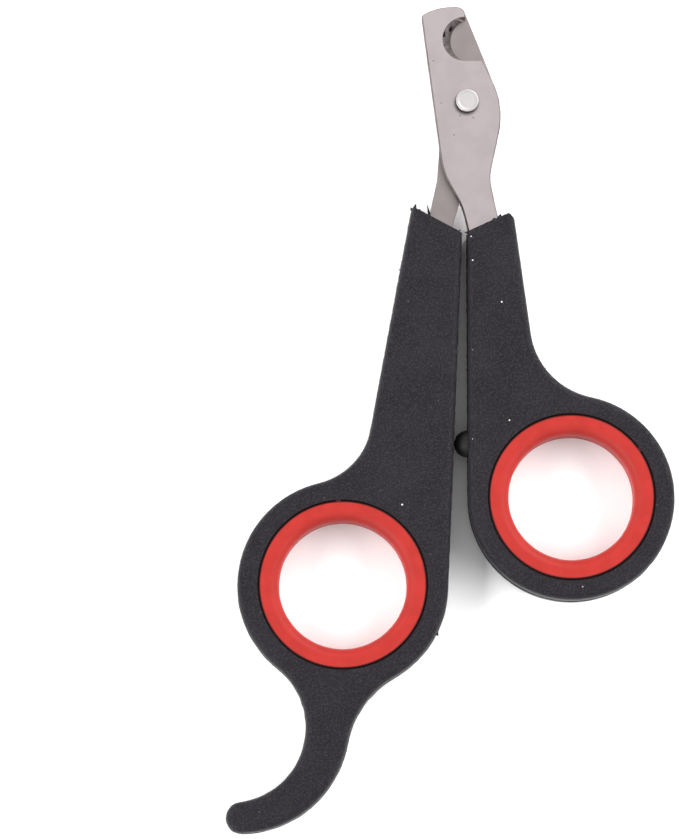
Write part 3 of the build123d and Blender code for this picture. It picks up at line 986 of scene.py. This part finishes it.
# %% Bumper rubber
bumper_finish, tree, shader, place = new_material("black_bumper_rubber")
grain = use(tree, grain_group, Place=place, Grain=0.1 * mm)
dust = use(tree, speck_group, Place=place, Spacing=1.5 * mm, Size=0.07 * mm, Share=0.4)["Mask"]
colour = mixed(tree, grain["Tone"], (0.006, 0.006, 0.006, 1), (0.012, 0.012, 0.012, 1))
colour = coat(tree, colour, dust, 0.5, (0.3, 0.3, 0.3, 1))
paint(tree, shader, colour, maths(tree, "ADD", maths(tree, "MULTIPLY", grain["Tone"], 0.1), 0.5))
raise_surface(tree, shader, grain["Height"], 0.008 * mm)
print(bumper_finish.name, len(tree.nodes), "nodes")

# %% [markdown]
# ## Giving each piece its finish
# A piece shows the material in its first slot, so the slots that came with the CAD copy are
# emptied first. What a piece is made of can be read from the end of its name.

# %% Finishes
finishes = {
    "handle_moulded": handle_plastic, "parting_line": handle_plastic,
    "flash": handle_plastic, "burrs": handle_plastic,
    "ring_moulded": ring_plastic, "gate_mark": ring_plastic,
    "front_blade_tumbled": front_finish, "rear_blade_tumbled": rear_shaded_finish,
    "pivot_rivet_peened": rivet_finish, "stop_bumper_rubber": bumper_finish,
}
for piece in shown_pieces():
    finish = next(material for ending, material in finishes.items() if piece.name.endswith(ending))
    piece.data.materials.clear()
    piece.data.materials.append(finish)
    print(piece.name, "in", finish.name)

# %% [markdown]
# The blades get three more slots: one for the notch, one for the walls that the stamping
# sheared, and one for the narrow rolled edges; all three are painted darker than the faces, the
# rolled edges as painted shade and the other two partly so. The rivet gets one, for its upright
# walls, where the dark sheared steel is a painted shadow under the head. The faces that a rule
# finds are given to the slot of that rule.

# %% Finishes of single faces
wall_rule = {sheared_and_shaded_finish: is_sheared_wall}
blade_rules = {ground_and_shaded_notch: is_notch_wall, **wall_rule, rolled_edge_shaded_finish: is_rolled_edge}
face_rules = {front_steel: blade_rules, rear_steel: blade_rules, rivet_pin: wall_rule}
for metal, rules in face_rules.items():
    for finish, rule in rules.items():
        metal.data.materials.append(finish)
        edit(metal, "FACE")
        walls = pick(metal, "faces", rule)
        metal.active_material_index = len(metal.data.materials) - 1
        bpy.ops.object.material_slot_assign()
        done()
        print(metal.name, walls, "faces of", finish.name)

# %% [markdown]
# ## Floor
# The tool lies on a wide sheet of plain white paper. A little pulp in its colour keeps it from
# being a flat tone.

# %% Floor
floor_size = 6.0              # metres

clear_bench()
bpy.ops.mesh.primitive_plane_add(size=floor_size)
floor = bpy.context.active_object
floor.name = "floor"
paper, tree, shader, place = new_material("white_paper")
pulp = add(tree, "TexNoise", {"Vector": place, "Scale": 900.0, "Detail": 4.0}).outputs["Fac"]
paper_tone = mixed(tree, pulp, (0.93, 0.93, 0.93, 1), (0.95, 0.95, 0.95, 1))
tree.links.new(paper_tone, shader.inputs["Base Color"])
shader.inputs["Roughness"].default_value = 0.9
shader.inputs["Specular IOR Level"].default_value = 0.1
floor.data.materials.append(paper)
print(floor.name, paper.name)

# %% [markdown]
# ## Light
# The paper lies in a white tent. The world is the tent: it fills every shadow and is what the
# flat faces mirror. Two large soft boxes stand on either side, the right one a little
# stronger. They make the paper much brighter than the tent overhead, so the paper burns out
# to white while the steel stays grey and the plastic stays black, and every bevel that leans
# towards the bright paper catches a thin line of it. The gap between the handles runs across
# the boxes' light, so it stays dark. The boxes themselves are kept out of reflections,
# because a box mirrored in a flat blade would wipe out its grain. Two small dim ones, front
# left and back right, do the opposite: they are only mirrored, and draw the rim of the rivet
# and the rounded edges of the plastic. The plain view transform keeps the white paper white.

# %% Light
tent_glow = 0.60
box_length, box_height = 2.0, 0.6   # metres
glint_side = 0.5
glint_power = 2.2                   # watts

tent = bpy.data.worlds.new("white_tent")
tent.use_nodes = True
tent.node_tree.nodes["Background"].inputs["Color"].default_value = (1, 1, 1, 1)
tent.node_tree.nodes["Background"].inputs["Strength"].default_value = tent_glow
bpy.context.scene.world = tent
bpy.context.scene.view_settings.view_transform = "Standard"


def soft_box(name, place, width, height, power, mirrored=False):
    """An area light that faces the tool, and either lights it or is only mirrored in it."""
    light = bpy.data.lights.new(name, "AREA")
    light.shape, light.energy = "RECTANGLE", power
    light.size, light.size_y = width, height
    lamp = bpy.data.objects.new(name, light)
    lamp.location = place
    lamp.rotation_euler = (-Vector(place)).to_track_quat("-Z", "Y").to_euler()
    lamp.visible_glossy = mirrored
    lamp.visible_diffuse = not mirrored
    bpy.context.scene.collection.objects.link(lamp)
    print(name, power, "W")


soft_box("right_box", (0.9, 0.2, 0.55), box_length, box_height, 34.0)
soft_box("left_box", (-0.95, 0.05, 0.55), box_length, box_height, 31.0)
soft_box("front_glint", (-0.6, -0.55, 0.75), glint_side, glint_side, glint_power, mirrored=True)
soft_box("back_glint", (0.45, 0.65, 0.8), glint_side, glint_side, glint_power, mirrored=True)
